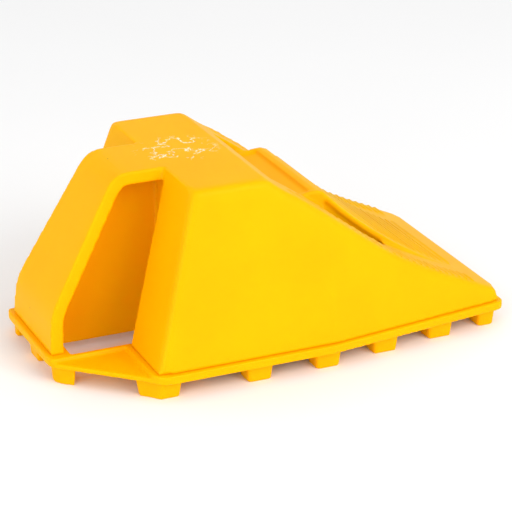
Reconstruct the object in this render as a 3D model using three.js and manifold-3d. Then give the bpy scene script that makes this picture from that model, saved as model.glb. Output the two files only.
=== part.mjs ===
// A wheel chock moulded in yellow plastic: a hollow drafted wedge on a base frame with ground lugs,
// a strap handle over the rear, a ribbed ramp with a raised centre pad, and stiffening webs inside.
// Millimetres. +X runs from the handle to the toe, +Y is the left side, +Z is up.
// The origin is on the ground, under the middle of the base frame.
import * as THREE from 'three';
import { mergeVertices } from 'three/addons/utils/BufferGeometryUtils.js';
import Module from 'manifold-3d';

const wasm = await Module();
wasm.setup();

// Overall size
const LENGTH = 470;
const WIDTH = 296;
const HEIGHT = 194;

// Moulding
const SKIN = 4;
const GAP = 0.3;
const FAR = 400;

// Base frame and ground lugs
const LUG_HEIGHT = 18;
const FRAME_BASE = LUG_HEIGHT + GAP;
const FRAME_TOP = 26;
const FRAME_MARGIN = 4;
const FRAME_BAR = 24;
const PLATE_TOP = 22.5;
const REAR_X = -LENGTH / 2;
const TOE_X = LENGTH / 2;
const SIDE_Y = WIDTH / 2;
const HAND_HALF = 61;
const LUG_DEPTH = 26;
const LUG_LENGTH = 28;
const REAR_LUG_DEPTH = 18;
const LUG_DRAFT = 0.86;
const SIDE_LUGS = [-46, 27, 94, 160, 217];
const REAR_LUGS = [-65, 0, 65];

// Body: the side walls lean in, and the plan narrows towards the toe ahead of the bend
const WALL_FOOT = FRAME_TOP + GAP;
const WALL_Y = SIDE_Y - FRAME_MARGIN;
const SIDE_DRAFT = 0.197;
const BEND_X = 32;
const PLAN_TAPER = 0.136;
const REAR_FOOT_X = -152;
const DECK_REAR_X = -102;
const DECK_FRONT_X = -26;
const TOE_TIP_X = 230;
const RAMP = [[-10, 182], [27, 157], [70, 125], [108, 98], [158, 70], [229, 38]];

// Raised pad along the middle of the ramp, the shelf behind its crest, and the side slots
const PAD_CREST = [53, 155];
const PAD_CONTROL = [129, 78];
const PAD_END_X = 205;
const PAD_HALF = 70;
const PAD_LIP = 7.5;
const SLOT_WALL = { inner: 63, outer: 67, depth: 32, endX: 117.7 };
const SHELF_LIP = { startX: 30, foot: 128 };
const SHELF_REAR = [-5.7, 150];
const SHELF_FRONT = [46, 156];
const SHELF_RIM = 3;
const RIM_WIDTH = 6;
const CHEEK_INNER = 88;
const SLOT_REAR_X = 47;
const SLOT_FRONT_X = 118;
const NOSE_FRONT = -6;

// Tread ribs
const RIB_PITCH = 7.6;
const RIB_WIDTH = 2.6;
const RIB_RISE = 1;

// Strap handle
const STRAP_FOOT_X = -230;
const STRAP_KNEE = [-227, 65];
const STRAP_TOP_X = -154;
const STRAP_HALF_LOW = 58;
const STRAP_HALF_HIGH = 38;
const STRAP_RIM = 12;
const PANEL_EDGE_LOW = 67;
const PANEL_EDGE_HIGH = 41;

// Webs inside
const WEB_HALF = 2.5;
const WEB_FOOT = 10;
const BULKHEAD_X = -98;
const RIB_THICK = 3.5;
const CROSS_RIBS = [[24, 138], [120, 80]];

const YELLOW = { color: 0xffc400, roughness: 0.45, metalness: 0 };
const group = new THREE.Group();

// ---- Solids ------------------------------------------------------------------------------------

function toSolid(geometry) {
  const bare = geometry.index ? geometry.toNonIndexed() : geometry.clone();
  bare.deleteAttribute('normal');
  bare.deleteAttribute('uv');
  const merged = mergeVertices(bare, 1e-4);
  return new wasm.Manifold(new wasm.Mesh({
    numProp: 3,
    vertProperties: new Float32Array(merged.attributes.position.array),
    triVerts: new Uint32Array(merged.index.array),
  }));
}

function add(name, solid) {
  const cut = solid.getMesh();
  const geometry = new THREE.BufferGeometry();
  geometry.setAttribute('position', new THREE.BufferAttribute(new Float32Array(cut.vertProperties), 3));
  geometry.setIndex(new THREE.BufferAttribute(new Uint32Array(cut.triVerts), 1));
  const mesh = new THREE.Mesh(geometry, new THREE.MeshStandardMaterial(YELLOW));
  mesh.name = name;
  group.add(mesh);
}

function outline(points) {
  return new THREE.Shape(points.map(([a, b]) => new THREE.Vector2(a, b)));
}

// A block between two corners.
function block(x0, x1, y0, y1, z0, z1) {
  const geometry = new THREE.BoxGeometry(x1 - x0, y1 - y0, z1 - z0);
  geometry.translate((x0 + x1) / 2, (y0 + y1) / 2, (z0 + z1) / 2);
  return toSolid(geometry);
}

// An outline in X and Z, carried across the part from y0 to y1.
function across(points, y0 = -FAR, y1 = FAR) {
  const geometry = new THREE.ExtrudeGeometry(outline(points), { depth: y1 - y0, bevelEnabled: false });
  geometry.rotateX(Math.PI / 2);
  geometry.translate(0, y1, 0);
  return toSolid(geometry);
}

// An outline in plan, raised from z0 to z1.
function raised(shape, z0, z1) {
  const settings = { depth: z1 - z0, bevelEnabled: false, curveSegments: 5 };
  const geometry = new THREE.ExtrudeGeometry(shape, settings);
  geometry.translate(0, 0, z0);
  return toSolid(geometry);
}

// A wedge about the centre plane whose half-width goes from low at the frame to high at the deck.
function waisted(low, high, x0, x1) {
  const halfAt = (z) => low + (high - low) * (z - FRAME_TOP) / (HEIGHT - FRAME_TOP);
  const [foot, head] = [-20, HEIGHT + 20];
  const shape = outline([
    [-halfAt(foot), foot], [halfAt(foot), foot], [halfAt(head), head], [-halfAt(head), head],
  ]);
  const geometry = new THREE.ExtrudeGeometry(shape, { depth: x1 - x0, bevelEnabled: false });
  geometry.rotateX(Math.PI / 2);
  geometry.rotateZ(Math.PI / 2);
  geometry.translate(x0, 0, 0);
  return toSolid(geometry);
}

// Moves every edge of a counter-clockwise outline inwards by a distance.
function inset(points, distance) {
  const at = points.map(([a, b]) => new THREE.Vector2(a, b));
  return at.map((point, i) => {
    const into = point.clone().sub(at[(i + at.length - 1) % at.length]).normalize();
    const away = at[(i + 1) % at.length].clone().sub(point).normalize();
    const normal = new THREE.Vector2(-into.y - away.y, into.x + away.x).normalize();
    const share = normal.dot(new THREE.Vector2(-into.y, into.x));
    const moved = point.clone().addScaledVector(normal, distance / share);
    return [moved.x, moved.y];
  });
}

// A closed shape whose corners are rounded by their own radii; a corner is [x, y, radius].
function rounded(corners) {
  const shape = new THREE.Shape();
  corners.forEach(([x, y, radius], i) => {
    const [px, py] = corners[(i + corners.length - 1) % corners.length];
    const [nx, ny] = corners[(i + 1) % corners.length];
    const into = new THREE.Vector2(px - x, py - y).setLength(radius);
    const away = new THREE.Vector2(nx - x, ny - y).setLength(radius);
    if (i === 0) shape.moveTo(x + into.x, y + into.y);
    else shape.lineTo(x + into.x, y + into.y);
    shape.quadraticCurveTo(x, y, x + away.x, y + away.y);
  });
  shape.closePath();
  return shape;
}

// The space between the two side walls, moved in by a depth.
function between(depth) {
  const half = WALL_Y - depth;
  const toe = half - PLAN_TAPER * (FAR - BEND_X);
  const plan = [[-FAR, -half], [BEND_X, -half], [FAR, -toe], [FAR, toe], [BEND_X, half], [-FAR, half]];
  const geometry = new THREE.ExtrudeGeometry(outline(plan), { depth: HEIGHT + 60, bevelEnabled: false });
  geometry.translate(0, 0, -30);
  const position = geometry.attributes.position;
  for (let i = 0; i < position.count; i += 1) {
    const y = position.getY(i);
    position.setY(i, y - Math.sign(y) * SIDE_DRAFT * (position.getZ(i) - FRAME_TOP));
  }
  return toSolid(geometry);
}

const SIDES = { right: -1, left: 1 };

// Everything on one side of the centre plane, further out than a distance.
function beyond(distance, sign) {
  const [y0, y1] = sign < 0 ? [-FAR, -distance] : [distance, FAR];
  return block(-FAR, FAR, y0, y1, -FAR, FAR);
}

// Everything between two X stations, and between two heights if they are given.
function zone(x0, x1, z0 = -FAR, z1 = FAR) {
  return block(x0, x1, -FAR, FAR, z0, z1);
}

// ---- Body --------------------------------------------------------------------------------------

const rampCurve = new THREE.SplineCurve(RAMP.map(([x, z]) => new THREE.Vector2(x, z)));
const rampLine = rampCurve.getPoints(18).map((p) => [p.x, p.y]);
const bodySide = [
  [REAR_FOOT_X, WALL_FOOT], [TOE_TIP_X, WALL_FOOT], ...rampLine.slice().reverse(),
  [DECK_FRONT_X, HEIGHT], [DECK_REAR_X, HEIGHT],
];
const envelope = across(bodySide);
const hollowSide = inset(bodySide, SKIN);
hollowSide[0][1] = 0;
hollowSide[1][1] = 0;
const skin = envelope.subtract(across(hollowSide));

const inside = between(SKIN + GAP);
const wallZone = between(0).subtract(between(SKIN));

for (const [side, sign] of Object.entries(SIDES)) {
  add(`side_wall_${side}`, envelope.intersect(wallZone).intersect(beyond(GAP, sign)));
}

const rearOpening = waisted(PANEL_EDGE_LOW, PANEL_EDGE_HIGH, -FAR, DECK_REAR_X + 20);
const deckFloor = HEIGHT - SKIN - 0.5;
const rearSkin = skin.intersect(inside).intersect(zone(-FAR, DECK_REAR_X + SKIN, -FAR, deckFloor));
for (const [side, sign] of Object.entries(SIDES)) {
  add(`rear_wall_${side}`, rearSkin.subtract(rearOpening).intersect(beyond(GAP, sign)));
}
const strapEnd = block(-FAR, DECK_REAR_X, -PANEL_EDGE_HIGH, PANEL_EDGE_HIGH, -FAR, FAR);
const deckZone = zone(-FAR, DECK_FRONT_X, deckFloor + GAP).subtract(strapEnd);
add('top_deck', skin.intersect(inside).intersect(deckZone));

// ---- Ramp --------------------------------------------------------------------------------------

// Height of a polyline of [x, z] points at a station.
function heightAt(line, x) {
  const i = Math.max(1, line.findIndex(([px]) => px >= x));
  const [[x0, z0], [x1, z1]] = [line[i - 1], line[i]];
  return z0 + (z1 - z0) * (x - x0) / (x1 - x0);
}

// Low bars across a ramp surface, one pitch apart.
function treadRibs(line, x0, x1) {
  let ribs = null;
  for (let x = x0; x + RIB_WIDTH < x1; x += RIB_PITCH) {
    const z = heightAt(line, x + RIB_WIDTH);
    const rib = zone(x, x + RIB_WIDTH, z - SKIN / 2, z + RIB_RISE + RIB_WIDTH / 2);
    ribs = ribs ? ribs.add(rib) : rib;
  }
  return ribs;
}

const rampSkin = skin.intersect(inside).intersect(zone(DECK_FRONT_X + GAP, FAR, WALL_FOOT + SKIN));
const drop = block(NOSE_FRONT - SKIN, NOSE_FRONT, -PAD_HALF, PAD_HALF, SHELF_REAR[1] - SKIN, HEIGHT);
add('deck_nose', rampSkin.intersect(zone(-FAR, NOSE_FRONT)).add(drop.intersect(envelope)));

const cheekSkin = rampSkin.intersect(zone(NOSE_FRONT + GAP, PAD_END_X));
const cheekRibs = treadRibs(rampLine, 4, PAD_END_X);
for (const [side, sign] of Object.entries(SIDES)) {
  const strip = beyond(CHEEK_INNER, sign).intersect(inside);
  const ribStrip = beyond(CHEEK_INNER + 2, sign).intersect(inside);
  add(`ramp_cheek_${side}`, cheekSkin.intersect(strip).add(cheekRibs.intersect(ribStrip)));

  const inner = cheekSkin.intersect(beyond(PAD_HALF + GAP, sign));
  const bridge = inner.subtract(beyond(CHEEK_INNER - GAP, sign));
  const [y0, y1] = [sign * (PAD_HALF + GAP), sign * (PAD_HALF + GAP + SKIN)].sort((a, b) => a - b);
  const skirtFoot = SHELF_REAR[1] - SKIN;
  const skirt = block(NOSE_FRONT + GAP, SLOT_REAR_X, y0, y1, skirtFoot, HEIGHT).intersect(envelope);
  add(`slot_bridge_rear_${side}`, bridge.intersect(zone(-FAR, SLOT_REAR_X)).add(skirt));
  add(`slot_bridge_front_${side}`, bridge.intersect(zone(SLOT_FRONT_X, FAR)));
}
add('toe_nose', skin.intersect(inside).intersect(zone(PAD_END_X + GAP, FAR)));

const padGuides = [PAD_CREST, PAD_CONTROL, RAMP[RAMP.length - 1]];
const padCurve = new THREE.QuadraticBezierCurve(...padGuides.map(([x, z]) => new THREE.Vector2(x, z)));
const padLine = padCurve.getPoints(16).map((p) => [p.x, p.y]);
const lowered = (drop) => padLine.map(([x, z]) => [x, z - drop]);
const padPlate = across([...lowered(PAD_LIP), ...padLine.slice().reverse()], -PAD_HALF, PAD_HALF);
const trayHalf = PAD_HALF - SKIN;
const padUnder = across([...lowered(60), ...lowered(SKIN * 1.2).reverse()], -trayHalf, trayHalf);
const ribRoom = block(-FAR, FAR, RIM_WIDTH - PAD_HALF, PAD_HALF - RIM_WIDTH, -FAR, FAR);
const padRibs = treadRibs(padLine, PAD_CREST[0] + RIB_PITCH, PAD_END_X).intersect(ribRoom);
const slotSide = [...lowered(SLOT_WALL.depth), ...lowered(SKIN).reverse()];
const slotWalls = across(slotSide, -SLOT_WALL.outer, SLOT_WALL.outer)
  .subtract(across(slotSide, -SLOT_WALL.inner, SLOT_WALL.inner)).intersect(zone(-FAR, SLOT_WALL.endX));
const pad = padPlate.subtract(padUnder).add(padRibs).add(slotWalls);
add('tread_pad', pad.intersect(zone(-FAR, PAD_END_X)));

const [rx, rz] = SHELF_REAR;
const [fx, fz] = SHELF_FRONT;
const crestX = PAD_CREST[0] - GAP;
const shelfTop = [
  [rx, rz + SHELF_RIM], [rx, rz - SKIN], [crestX, fz - SKIN - 1], [crestX, fz - 1], [fx, fz + SHELF_RIM / 2],
];
const shelfDish = [[-FAR, rz], [rx, rz], [fx - RIM_WIDTH, fz - 2], [fx, FAR], [-FAR, FAR]];
const dishHalf = PAD_HALF - RIM_WIDTH;
const lipTop = fz - SKIN;
const lips = block(SHELF_LIP.startX, crestX, -PAD_HALF, PAD_HALF, SHELF_LIP.foot, lipTop)
  .subtract(block(-FAR, FAR, -trayHalf, trayHalf, -FAR, FAR));
const shelf = across(shelfTop, -PAD_HALF, PAD_HALF).subtract(across(shelfDish, -dishHalf, dishHalf));
add('crest_shelf', shelf.add(lips));

// ---- Strap handle, webs and bulkhead -----------------------------------------------------------

const strapSide = [
  [STRAP_FOOT_X, WALL_FOOT, 0], [DECK_REAR_X - GAP, WALL_FOOT, 0], [DECK_REAR_X - GAP, HEIGHT, 0],
  [STRAP_TOP_X, HEIGHT, 16], [...STRAP_KNEE, 14],
];
const apart = ([x, z], [px, pz]) => Math.hypot(x - px, z - pz) > 0.01;
const strapOutline = rounded(strapSide).getPoints(5).map((p) => [p.x, p.y])
  .filter((point, i, all) => apart(point, all[(i + 1) % all.length]));

// The room under the strap, a depth in from its outer face, open below and in front.
function underStrap(depth) {
  return inset(strapOutline, depth).map(([x, z]) => [
    x > DECK_REAR_X - depth - 1 ? DECK_REAR_X + 10 : x,
    z < WALL_FOOT + depth + 1 ? 0 : z,
  ]);
}

const strapSolid = across(strapOutline).intersect(waisted(STRAP_HALF_LOW, STRAP_HALF_HIGH, -FAR, FAR));
const strapChannel = across(underStrap(SKIN))
  .intersect(waisted(STRAP_HALF_LOW - SKIN, STRAP_HALF_HIGH - SKIN, -FAR, FAR));
add('strap_handle', strapSolid.subtract(strapChannel).subtract(across(underStrap(STRAP_RIM))));

const rearBarFront = REAR_X + FRAME_BAR;
const webRoom = across(underStrap(SKIN + GAP)).subtract(zone(-FAR, rearBarFront + GAP, -FAR, WALL_FOOT));
const webPlate = block(-FAR, BULKHEAD_X, -WEB_HALF, WEB_HALF, WEB_FOOT, deckFloor - GAP);
add('centre_web', webRoom.intersect(webPlate));

const barInner = SIDE_Y - FRAME_BAR;
const bulkheadFront = BULKHEAD_X + GAP + SKIN;
const bulkheadLow = block(BULKHEAD_X + GAP, bulkheadFront, GAP - barInner, barInner - GAP, WEB_FOOT, 60);
const bulkheadHigh = zone(BULKHEAD_X + GAP, bulkheadFront, WALL_FOOT, deckFloor - GAP).intersect(inside);
add('rear_bulkhead', bulkheadLow.add(bulkheadHigh));

for (const [i, [x, top]] of CROSS_RIBS.entries()) {
  add(`cross_rib_${i + 1}`, zone(x, x + RIB_THICK, WALL_FOOT, top).intersect(inside));
}
const [[x1, z1], [x2, z2]] = CROSS_RIBS;
const midStart = x1 + RIB_THICK + GAP;
const frontStart = x2 + RIB_THICK + GAP;
const keelEnd = PAD_END_X - 10;
const keels = [
  [[bulkheadFront + GAP, WALL_FOOT], [x1 - GAP, WALL_FOOT], [x1 - GAP, z1], [bulkheadFront + GAP, z1]],
  [[midStart, WALL_FOOT], [x2 - GAP, WALL_FOOT], [x2 - GAP, z2], [midStart, z1]],
  [[frontStart, WALL_FOOT], [keelEnd, WALL_FOOT], [keelEnd, WALL_FOOT + 8], [frontStart, z2 - 4]],
];
for (const [i, keel] of keels.entries()) {
  add(`keel_rib_${i + 1}`, across(keel, -RIB_THICK / 2, RIB_THICK / 2));
}

// ---- Base frame --------------------------------------------------------------------------------

const rightPlan = [
  [REAR_X, -65, 10], [-160, -134, 8], [-150, -SIDE_Y, 9], [BEND_X, -SIDE_Y, 4], [TOE_X, -120.5, 11],
];
const plan = [...rightPlan, ...rightPlan.map(([x, y, radius]) => [x, -y, radius]).reverse()];

// The plan of the base frame, moved in by a margin.
function framePlan(margin) {
  const moved = inset(plan, margin);
  return rounded(moved.map(([x, y], i) => [x, y, plan[i][2]]));
}

const frame = raised(framePlan(0), FRAME_BASE, FRAME_TOP);
const plateFront = REAR_FOOT_X + 3;
const handWidth = block(-FAR, FAR, -HAND_HALF, HAND_HALF, -FAR, FAR);
add('frame_rear', frame.intersect(zone(-FAR, rearBarFront)).intersect(handWidth));
add('frame_toe', frame.intersect(zone(PAD_END_X + GAP, FAR)));
for (const [side, sign] of Object.entries(SIDES)) {
  const bar = frame.intersect(zone(plateFront + GAP, PAD_END_X));
  const taper = raised(outline([
    [-FAR, -barInner], [BEND_X, -barInner], [FAR, -barInner + PLAN_TAPER * (FAR - BEND_X)],
    [FAR, barInner - PLAN_TAPER * (FAR - BEND_X)], [BEND_X, barInner], [-FAR, barInner],
  ]), -FAR, FAR);
  add(`frame_side_${side}`, bar.subtract(taper).intersect(beyond(GAP, sign)));

  const corner = frame.intersect(zone(-FAR, plateFront)).intersect(beyond(HAND_HALF + GAP, sign));
  const plate = corner.intersect(zone(-FAR, FAR, -FAR, PLATE_TOP));
  const innerLip = corner.subtract(beyond(HAND_HALF + GAP + 5, sign));
  const rearLip = corner.intersect(zone(REAR_FOOT_X - 5, FAR));
  add(`corner_plate_${side}`, plate.add(innerLip).add(rearLip));
}

// ---- Ground lugs -------------------------------------------------------------------------------

const lugPlan = raised(framePlan(5), -1, LUG_HEIGHT);

// A rounded block under the frame that narrows towards the ground.
function lug(x, y, length, depth) {
  const [a, b, r] = [length / 2, depth / 2, 3.5];
  const geometry = new THREE.ExtrudeGeometry(
    rounded([[-a, -b, r], [a, -b, r], [a, b, r], [-a, b, r]]),
    { depth: LUG_HEIGHT, bevelEnabled: false, curveSegments: 3 },
  );
  const position = geometry.attributes.position;
  for (let i = 0; i < position.count; i += 1) {
    const scale = position.getZ(i) > LUG_HEIGHT / 2 ? 1 : LUG_DRAFT;
    position.setXY(i, position.getX(i) * scale, position.getY(i) * scale);
  }
  geometry.translate(x, y, 0);
  return toSolid(geometry).intersect(lugPlan);
}

for (const [side, sign] of Object.entries(SIDES)) {
  for (const [i, x] of SIDE_LUGS.entries()) {
    const last = i === SIDE_LUGS.length - 1;
    const outer = WALL_Y - 3 - PLAN_TAPER * Math.max(0, x - BEND_X);
    add(`lug_${side}_${i + 1}`, lug(x, sign * (outer - LUG_DEPTH / 2), last ? 20 : LUG_LENGTH, LUG_DEPTH));
  }
  add(`lug_corner_${side}`, lug(-147, sign * (WALL_Y - 3 - LUG_DEPTH / 2), 40, LUG_DEPTH));
}
for (const [i, y] of REAR_LUGS.entries()) {
  add(`lug_rear_${i + 1}`, lug(REAR_X + 5 + REAR_LUG_DEPTH / 2, y, REAR_LUG_DEPTH, LUG_LENGTH));
}

export default group;
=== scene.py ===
"""A moulded yellow wheel chock: seamless shell, base frame, ground lugs and inner webs on a pale floor."""

import logging
import math
from dataclasses import dataclass
from enum import Enum
from typing import Any

import bmesh
import bpy
import numpy as np
from mathutils import Matrix, Vector


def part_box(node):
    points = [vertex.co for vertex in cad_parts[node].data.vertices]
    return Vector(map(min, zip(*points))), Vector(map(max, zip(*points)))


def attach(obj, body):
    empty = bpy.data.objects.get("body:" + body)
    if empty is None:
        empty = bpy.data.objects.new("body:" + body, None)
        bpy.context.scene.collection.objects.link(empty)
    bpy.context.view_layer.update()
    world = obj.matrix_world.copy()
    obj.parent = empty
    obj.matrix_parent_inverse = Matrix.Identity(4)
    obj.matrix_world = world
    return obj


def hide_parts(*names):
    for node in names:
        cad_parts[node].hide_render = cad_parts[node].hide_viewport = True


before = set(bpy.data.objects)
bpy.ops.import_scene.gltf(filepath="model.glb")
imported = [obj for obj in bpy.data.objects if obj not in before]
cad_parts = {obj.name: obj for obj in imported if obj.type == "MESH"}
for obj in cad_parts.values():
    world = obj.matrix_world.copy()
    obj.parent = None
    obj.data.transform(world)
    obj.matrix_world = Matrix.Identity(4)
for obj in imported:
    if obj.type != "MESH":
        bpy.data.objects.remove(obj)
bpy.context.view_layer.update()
MM = 0.001
LOG = logging.getLogger("chock")


class Wear(Enum):
    """How much use a surface shows: the strength of its pale scuffs."""

    CLEAN = 0.0
    HANDLED = 0.35
    SCUFFED = 1.0


class Wire:
    """A shader socket that Python expressions can work on."""

    def __init__(self, board: "Board", socket: bpy.types.NodeSocket) -> None:
        """Wraps a socket.

        Args:
            board: the node tree that it belongs to.
            socket: the output socket.
        """
        self.board = board
        self.socket = socket

    def combine(self, operation: str, *values: Any) -> "Wire":
        """Adds a Math node.

        Args:
            operation: the Math node's operation.
            values: its inputs, numbers or wires.

        Returns:
            The node's result.
        """
        return self.board.add("ShaderNodeMath", {"operation": operation}, dict(enumerate(values)))

    def __add__(self, other: Any) -> "Wire":
        """Returns self + other."""
        return self.combine("ADD", self, other)

    def __sub__(self, other: Any) -> "Wire":
        """Returns self - other."""
        return self.combine("SUBTRACT", self, other)

    def __rsub__(self, other: Any) -> "Wire":
        """Returns other - self."""
        return self.combine("SUBTRACT", other, self)

    def __mul__(self, other: Any) -> "Wire":
        """Returns self * other."""
        return self.combine("MULTIPLY", self, other)

    def __abs__(self) -> "Wire":
        """Returns the size of self, without its sign."""
        return self.combine("ABSOLUTE", self)

    __radd__ = __add__
    __rmul__ = __mul__

    def above(self, low: float, high: float) -> "Wire":
        """Rises smoothly from 0 at low to 1 at high.

        Args:
            low: where it is 0.
            high: where it is 1.

        Returns:
            The mask.
        """
        settings = {"interpolation_type": "SMOOTHSTEP"}
        return self.board.add("ShaderNodeMapRange", settings, {0: self, 1: low, 2: high})


class Board:
    """A material and its node tree, with one method that adds any node."""

    def __init__(self, name: str) -> None:
        """Makes a material.

        Args:
            name: the material's name.
        """
        self.material = bpy.data.materials.new(name)
        self.material.use_nodes = True
        self.tree = self.material.node_tree
        self.surface = self.tree.nodes["Principled BSDF"]

    def feed(self, socket: bpy.types.NodeSocket, value: Any) -> None:
        """Sets a socket to a value, or links a wire to it.

        Args:
            socket: the input.
            value: a number, colour, vector or wire.
        """
        if isinstance(value, Wire):
            self.tree.links.new(value.socket, socket)
        else:
            socket.default_value = value

    def add(self, kind: str, settings: dict[str, Any], sockets: dict[Any, Any], out: Any = 0) -> Wire:
        """Adds a node.

        Args:
            kind: the node's type.
            settings: its properties, set first.
            sockets: values or wires for its inputs, by name or place.
            out: the output to return.

        Returns:
            That output.
        """
        node = self.tree.nodes.new(kind)
        for key, value in settings.items():
            setattr(node, key, value)
        for key, value in sockets.items():
            self.feed(node.inputs[key], value)
        return Wire(self, node.outputs[out])

    def tint(self, factor: Any, first: Any, second: Any) -> Wire:
        """Mixes two colours.

        Args:
            factor: 0 for the first, 1 for the second.
            first: a colour or wire.
            second: a colour or wire.

        Returns:
            The mixed colour.
        """
        settings = {"data_type": "RGBA", "blend_type": "MIX"}
        return self.add("ShaderNodeMix", settings, {0: factor, 6: first, 7: second}, 2)

    def noise(self, place: Wire, scale: float, detail: float) -> Wire:
        """Adds a noise field.

        Args:
            place: the coordinates.
            scale: cells per metre.
            detail: octaves.

        Returns:
            The field, from 0 to 1.
        """
        return self.add("ShaderNodeTexNoise", {}, {"Vector": place, "Scale": scale, "Detail": detail})


@dataclass(frozen=True)
class MouldedPlastic:
    """Satin moulded plastic with faint mottling, a fine grain, pale scuffs and a few dark specks."""

    name: str
    wear: Wear
    colour: tuple[float, float, float, float] = (1.0, 0.455, 0.0, 1.0)
    deep: tuple[float, float, float, float] = (1.0, 0.42, 0.0, 1.0)
    chalk: tuple[float, float, float, float] = (1.0, 0.86, 0.6, 1.0)
    speck: tuple[float, float, float, float] = (0.45, 0.2, 0.01, 1.0)
    roughness: float = 0.42
    gloss: float = 0.1
    index: float = 1.3
    glow: float = 0.35
    glow_depth: float = 12 * MM
    depth_tint: tuple[float, float, float] = (1.0, 0.38, 0.04)
    cloud_scale: float = 14.0
    grain_scale: float = 900.0
    ripple_scale: float = 45.0
    speck_scale: float = 70.0
    relief: float = 0.6 * MM
    scuff_centre: tuple[float, float, float] = (-0.072, 0.006, 0.194)
    scuff_size: tuple[float, float, float] = (0.048, 0.042, 0.012)

    def make(self) -> bpy.types.Material:
        """Builds the material.

        Returns:
            The material.
        """
        board = Board(self.name)
        place = board.add("ShaderNodeTexCoord", {}, {}, "Object")
        cloud = board.noise(place, self.cloud_scale, 3.0)
        grain = board.noise(place, self.grain_scale, 2.0)
        ripple = board.noise(place, self.ripple_scale, 2.0)
        cells = {"Vector": place, "Scale": self.speck_scale}
        dots = board.add("ShaderNodeTexVoronoi", {}, cells, "Distance")
        picked = board.add("ShaderNodeTexVoronoi", {}, cells, "Color")
        chance = board.add("ShaderNodeSeparateColor", {}, {0: picked}, 0)
        specks = (1.0 - dots.above(0.05, 0.09)) * chance.above(0.93, 0.94)
        scuffs = self.scuffs(board, place)
        body = board.tint(cloud.above(0.35, 0.7) * 0.6, self.colour, self.deep)
        marked = board.tint(specks * 0.7, body, self.speck)
        board.feed(board.surface.inputs["Base Color"], board.tint(scuffs, marked, self.chalk))
        rough = cloud * 0.08 + grain * 0.05 + scuffs * 0.2 + (self.roughness - 0.06)
        board.feed(board.surface.inputs["Roughness"], rough)
        board.surface.inputs["Specular IOR Level"].default_value = self.gloss
        board.surface.inputs["IOR"].default_value = self.index
        board.surface.inputs["Subsurface Weight"].default_value = self.glow
        board.surface.inputs["Subsurface Radius"].default_value = self.depth_tint
        board.surface.inputs["Subsurface Scale"].default_value = self.glow_depth
        height = grain * 0.25 + ripple * 0.75 + scuffs * 0.5
        sockets = {"Strength": 0.12, "Distance": self.relief, "Height": height}
        bump = board.add("ShaderNodeBump", {}, sockets)
        board.feed(board.surface.inputs["Normal"], bump)
        return board.material

    def scuffs(self, board: Board, place: Wire) -> Wire:
        """Pale rubbed marks: broken thin scratches inside a soft patch on the deck.

        Args:
            board: the material's nodes.
            place: the coordinates.

        Returns:
            The mask.
        """
        settings = {"vector_type": "POINT"}
        scale = tuple(1 / size for size in self.scuff_size)
        shift = tuple(-c * s for c, s in zip(self.scuff_centre, scale))
        sockets = {"Vector": place, "Location": shift, "Scale": scale}
        local = board.add("ShaderNodeMapping", settings, sockets)
        reach = board.add("ShaderNodeVectorMath", {"operation": "LENGTH"}, {0: local}, "Value")
        patch = 1.0 - reach.above(0.55, 1.0)
        wander = board.noise(place, 95.0, 4.0)
        off_line = abs(wander - 0.5)
        scratches = 1.0 - off_line.above(0.012, 0.03)
        broken = board.noise(place, 60.0, 3.0).above(0.45, 0.53)
        return patch * scratches * broken * self.wear.value


def only(*pieces: bpy.types.Object) -> None:
    """Selects these objects and nothing else, with the first one active.

    Args:
        pieces: the objects.
    """
    bpy.ops.object.select_all(action="DESELECT")
    for piece in pieces:
        piece.select_set(True)
    bpy.context.view_layer.objects.active = pieces[0]


def modify(piece: bpy.types.Object, kind: str, **settings: Any) -> None:
    """Adds a modifier and applies it.

    Args:
        piece: the object.
        kind: the modifier's type.
        settings: its properties.
    """
    only(piece)
    modifier = piece.modifiers.new(kind.title(), kind)
    for key, value in settings.items():
        setattr(modifier, key, value)
    bpy.ops.object.modifier_apply(modifier=modifier.name)


def merged_copy(node: str) -> bpy.types.Object:
    """Copies a CAD node's mesh into a new object, with its shared corners merged.

    Args:
        node: the CAD node's name.

    Returns:
        The new object.
    """
    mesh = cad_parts[node].data.copy()
    mesh.materials.clear()
    shape = bmesh.new()
    shape.from_mesh(mesh)
    bmesh.ops.remove_doubles(shape, verts=shape.verts, dist=1e-6)
    shape.to_mesh(mesh)
    shape.free()
    piece = bpy.data.objects.new(f"{node}_copy", mesh)
    bpy.context.scene.collection.objects.link(piece)
    return piece


def report(piece: bpy.types.Object) -> None:
    """Logs a finished piece and its size.

    Args:
        piece: the object.
    """
    size = ", ".join(f"{1000 * side:.1f}" for side in piece.dimensions)
    LOG.info("%s: %d faces, %s mm", piece.name, len(piece.data.polygons), size)


def triangle_count(piece: bpy.types.Object) -> int:
    """Counts a piece's triangles."""
    return sum(len(face.vertices) - 2 for face in piece.data.polygons)


def per_vertex(piece: bpy.types.Object, what: str) -> np.ndarray:
    """Reads a vector from each vertex of a piece.

    Args:
        piece: the object.
        what: the vertex property, such as co or normal.

    Returns:
        The vectors, one row each.
    """
    rows = np.empty(len(piece.data.vertices) * 3)
    piece.data.vertices.foreach_get(what, rows)
    return rows.reshape(-1, 3)


@dataclass(frozen=True)
class SideDraft:
    """How the side walls lean in with height, and close in towards the toe."""

    half: float = 0.144
    foot: float = 0.026
    lean: float = 0.197
    taper_start: float = 0.032
    taper: float = 0.136

    def leaned(self, height: Any) -> Any:
        """Returns how far a wall has leaned in at a height."""
        return self.lean * (height - self.foot)

    def tapered(self, station: Any) -> Any:
        """Returns how far a wall has closed in at a station along the object."""
        return self.taper * np.maximum(0, station - self.taper_start)

    def half_width(self, station: Any, height: Any) -> Any:
        """Returns the distance from the middle to a wall at a station and a height."""
        return self.half - self.leaned(height) - self.tapered(station)


DRAFT = SideDraft()


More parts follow.
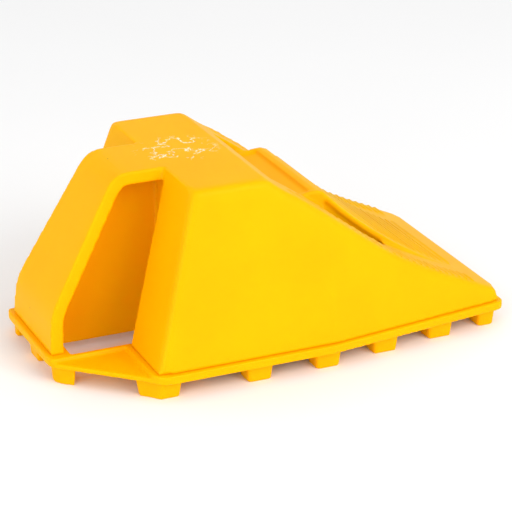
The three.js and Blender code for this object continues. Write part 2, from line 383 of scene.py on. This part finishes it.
@dataclass
class Moulding:
    """A group of CAD nodes that is one continuous moulding, fused and given soft moulded edges."""

    name: str
    nodes: tuple[str, ...]
    finish: bpy.types.Material
    voxel: float = 1.6 * MM
    swell: float = 0.35 * MM
    soften: int = 3
    most_triangles: int = 190_000

    def fuse(self) -> bpy.types.Object:
        """Joins the nodes' copies and closes the gaps between them.

        Returns:
            The fused piece.
        """
        copies = [merged_copy(node) for node in self.nodes]
        if self.swell > 0:
            for copy in copies:
                modify(copy, "DISPLACE", strength=self.swell, mid_level=0.0)
        only(*copies)
        if len(copies) > 1:
            bpy.ops.object.join()
        piece = bpy.context.view_layer.objects.active
        piece.name = self.name
        coarse = 1.0
        modify(piece, "REMESH", mode="VOXEL", voxel_size=self.voxel * coarse, use_smooth_shade=True)
        return piece

    def shape(self, piece: bpy.types.Object) -> None:
        """Rounds the edges.

        Args:
            piece: the fused piece.
        """
        modify(piece, "SMOOTH", factor=0.5, iterations=self.soften)

    def build(self) -> bpy.types.Object:
        """Makes the piece, dresses it and ties it to the frame.

        Returns:
            The finished piece.
        """
        piece = self.fuse()
        self.shape(piece)
        count = triangle_count(piece)
        if count > self.most_triangles:
            modify(piece, "DECIMATE", ratio=self.most_triangles / count)
        only(piece)
        bpy.ops.object.shade_smooth()
        piece.data.materials.clear()
        piece.data.materials.append(self.finish)
        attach(piece, "root")
        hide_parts(*self.nodes)
        report(piece)
        return piece


@dataclass
class WedgeShell(Moulding):
    """The drafted wedge with its ramp, deck and strap handle; its long outer edges are rounder."""

    edge_reach: float = 13 * MM
    edge_soften: int = 80
    foot_band: float = 0.005
    outward: float = 0.05
    least_weight: float = 0.02

    def edge_line(self, wall: str) -> np.ndarray:
        """Finds a side wall's outline in X and Z, above its foot, from the rear to the toe.

        Args:
            wall: the side wall's node.

        Returns:
            Its points, one row each.
        """
        corners = np.array([vertex.co[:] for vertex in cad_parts[wall].data.vertices])
        low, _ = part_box(wall)
        upper = corners[corners[:, 2] > low.z + self.foot_band][:, [0, 2]]
        points = sorted({(round(x, 4), round(z, 4)) for x, z in upper})
        return np.array([(low.x, low.z), *points])

    def off_line(self, places: np.ndarray, line: np.ndarray) -> np.ndarray:
        """Measures how far places are from a line of straight stretches.

        Args:
            places: points in X and Z, one row each.
            line: the line's points, in order.

        Returns:
            The least distance of each place.
        """
        near = np.full(len(places), np.inf)
        for start, end in zip(line[:-1], line[1:]):
            span = end - start
            share = np.clip(((places - start) @ span) / max(span @ span, 1e-12), 0, 1)
            foot = start + share[:, None] * span
            near = np.minimum(near, np.linalg.norm(places - foot, axis=1))
        return near

    def shape(self, piece: bpy.types.Object) -> None:
        """Rounds every edge a little, and the edges between the side walls and the top more.

        Args:
            piece: the fused piece.
        """
        super().shape(piece)
        co = per_vertex(piece, "co")
        normal = per_vertex(piece, "normal")
        near = self.off_line(co[:, [0, 2]], self.edge_line("side_wall_right"))
        inward = DRAFT.half_width(co[:, 0], co[:, 2]) - np.abs(co[:, 1])
        sideways = normal[:, 1] * np.sign(co[:, 1]) > self.outward
        upwards = normal[:, 2] > self.outward
        weight = np.clip(1 - np.maximum(near, inward) / self.edge_reach, 0, 1) * (sideways | upwards)
        group = piece.vertex_groups.new(name="long_edges")
        for index in np.flatnonzero(weight > self.least_weight):
            group.add([int(index)], float(min(1.0, 2 * weight[index])), "REPLACE")
        modify(piece, "SMOOTH", factor=0.5, iterations=self.edge_soften, vertex_group=group.name)
        piece.vertex_groups.clear()


@dataclass
class TreadStrip:
    """A row of low moulded bars laid across a ramp surface."""

    name: str
    shell: bpy.types.Object
    finish: bpy.types.Material
    first: float
    last: float
    inner: float
    outer: float
    side: int
    pitch: float = 7.6 * MM
    width: float = 3.2 * MM
    rise: float = 0.25 * MM
    sunk: float = 2.0 * MM
    rounding: float = 0.8 * MM
    drop_from: float = 0.4
    least_level: float = 0.3

    def bar(self, x: float) -> bpy.types.Object | None:
        """Models one bar on the surface below a station.

        Args:
            x: the bar's place along the ramp.

        Returns:
            The bar, or None where there is no surface.
        """
        taper = DRAFT.tapered(x) if self.side else 0.0
        middle = self.side * ((self.inner + self.outer - taper) / 2)
        above = Vector((x, middle, self.drop_from))
        hit, spot, normal, _ = self.shell.ray_cast(above, Vector((0, 0, -1)))
        if not hit or normal.z < self.least_level:
            return None
        outer = self.outer - taper - DRAFT.leaned(spot.z) if self.side else self.outer
        length = outer - self.inner if self.side else 2 * self.outer
        centre = self.side * (outer + self.inner) / 2
        slope = math.atan2(normal.x, normal.z)
        place = Matrix.Translation((spot.x, centre, spot.z)) @ Matrix.Rotation(slope, 4, "Y")
        bpy.ops.object.select_all(action="DESELECT")
        bpy.ops.mesh.primitive_cube_add(size=1)
        piece = bpy.context.object
        size = Matrix.Diagonal((self.width, length, self.rise + self.sunk, 1))
        lift = Matrix.Translation((0, 0, (self.rise - self.sunk) / 2))
        piece.data.transform(place @ lift @ size)
        modify(piece, "BEVEL", width=self.rounding, segments=2, limit_method="ANGLE")
        return piece

    def build(self) -> bpy.types.Object:
        """Makes the row of bars as one piece.

        Returns:
            The finished piece.
        """
        stations = np.arange(self.first, self.last, self.pitch)
        bars = [bar for bar in (self.bar(float(x)) for x in stations) if bar]
        only(*bars)
        bpy.ops.object.join()
        piece = bpy.context.view_layer.objects.active
        piece.name = self.name
        bpy.ops.object.shade_smooth_by_angle(angle=math.radians(40))
        piece.data.materials.append(self.finish)
        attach(piece, "root")
        report(piece)
        return piece


@dataclass
class Studio:
    """A pale floor, soft lights and the camera."""

    eye: tuple[float, float, float] = (-0.8299, -1.8924, 0.9334)
    aim: tuple[float, float, float] = (0.3747, 0.8431, -0.3857)
    lens: float = 155.02
    floor_size: float = 12.0
    sky: float = 0.85

    def build(self) -> None:
        """Lays the floor, hangs the lights and sets the camera."""
        bpy.ops.object.select_all(action="DESELECT")
        bpy.ops.mesh.primitive_plane_add(size=self.floor_size)
        floor = bpy.context.object
        floor.name = "floor"
        board = Board("pale_floor")
        place = board.add("ShaderNodeTexCoord", {}, {}, "Object")
        cloud = board.noise(place, 3.0, 2.0)
        white = board.tint(cloud, (0.93, 0.93, 0.93, 1), (0.95, 0.95, 0.95, 1))
        board.feed(board.surface.inputs["Base Color"], white)
        board.surface.inputs["Roughness"].default_value = 0.9
        floor.data.materials.append(board.material)
        world = bpy.data.worlds.new("studio")
        bpy.context.scene.world = world
        world.use_nodes = True
        world.node_tree.nodes["Background"].inputs["Color"].default_value = (1, 1, 1, 1)
        world.node_tree.nodes["Background"].inputs["Strength"].default_value = self.sky
        self.lamp("key", place=(0.9, -2.2, 1.5), size=1.6, power=36.0)
        self.lamp("fill", place=(-2.0, -1.5, 0.9), size=1.8, power=20.0)
        self.camera()

    def lamp(self, name: str, place: tuple[float, float, float], size: float, power: float) -> None:
        """Hangs a square soft light that faces the object.

        Args:
            name: the light's name.
            place: where it hangs.
            size: its side in metres.
            power: its power in watts.
        """
        light = bpy.data.lights.new(name, "AREA")
        light.size = size
        light.energy = power
        lamp = bpy.data.objects.new(name, light)
        lamp.location = place
        lamp.rotation_euler = (-Vector(place)).to_track_quat("-Z", "Y").to_euler()
        bpy.context.scene.collection.objects.link(lamp)

    def camera(self) -> None:
        """Sets the camera."""
        data = bpy.data.cameras.new("camera")
        data.lens = self.lens
        data.sensor_width = 36.0
        camera = bpy.data.objects.new("camera", data)
        camera.location = self.eye
        camera.rotation_euler = Vector(self.aim).to_track_quat("-Z", "Y").to_euler()
        bpy.context.scene.collection.objects.link(camera)
        bpy.context.scene.camera = camera
        bpy.context.scene.view_settings.view_transform = "Standard"


def named(*starts: str) -> tuple[str, ...]:
    """Lists the CAD nodes whose names start with any of these words, in order."""
    return tuple(sorted(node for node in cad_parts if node.startswith(starts)))


def main() -> None:
    """Builds the object's pieces in order."""
    logging.basicConfig(level=logging.INFO, format="%(name)s %(message)s")
    scuffed = MouldedPlastic("scuffed_yellow", Wear.SCUFFED).make()
    handled = MouldedPlastic("handled_yellow", Wear.HANDLED).make()
    clean = MouldedPlastic("clean_yellow", Wear.CLEAN).make()
    shell_nodes = named("side_wall", "rear_wall", "top_deck", "deck_nose", "ramp_cheek", "slot_bridge",
                        "toe_nose", "tread_pad", "crest_shelf", "strap_handle")
    shell = WedgeShell("wedge_shell", shell_nodes, scuffed).build()
    cheek = {"first": 0.004, "last": 0.205, "inner": 0.090, "outer": 0.139}
    pad = {"first": 0.062, "last": 0.202, "inner": 0.0, "outer": 0.062}
    TreadStrip("tread_bars_right", shell, handled, side=-1, **cheek).build()
    TreadStrip("tread_bars_left", shell, handled, side=1, **cheek).build()
    TreadStrip("tread_bars_pad", shell, handled, side=0, **pad).build()
    Moulding("base_frame", named("frame_", "corner_plate"), handled, voxel=1.3 * MM).build()
    inner = named("centre_web", "rear_bulkhead", "cross_rib", "keel_rib")
    Moulding("inner_webs", inner, clean, voxel=1.7 * MM, soften=1).build()
    for node in named("lug_"):
        Moulding(f"{node}_moulded", (node,), handled, voxel=1.0 * MM, swell=0.0, soften=5).build()
    Studio().build()


if __name__ == "__main__":
    main()
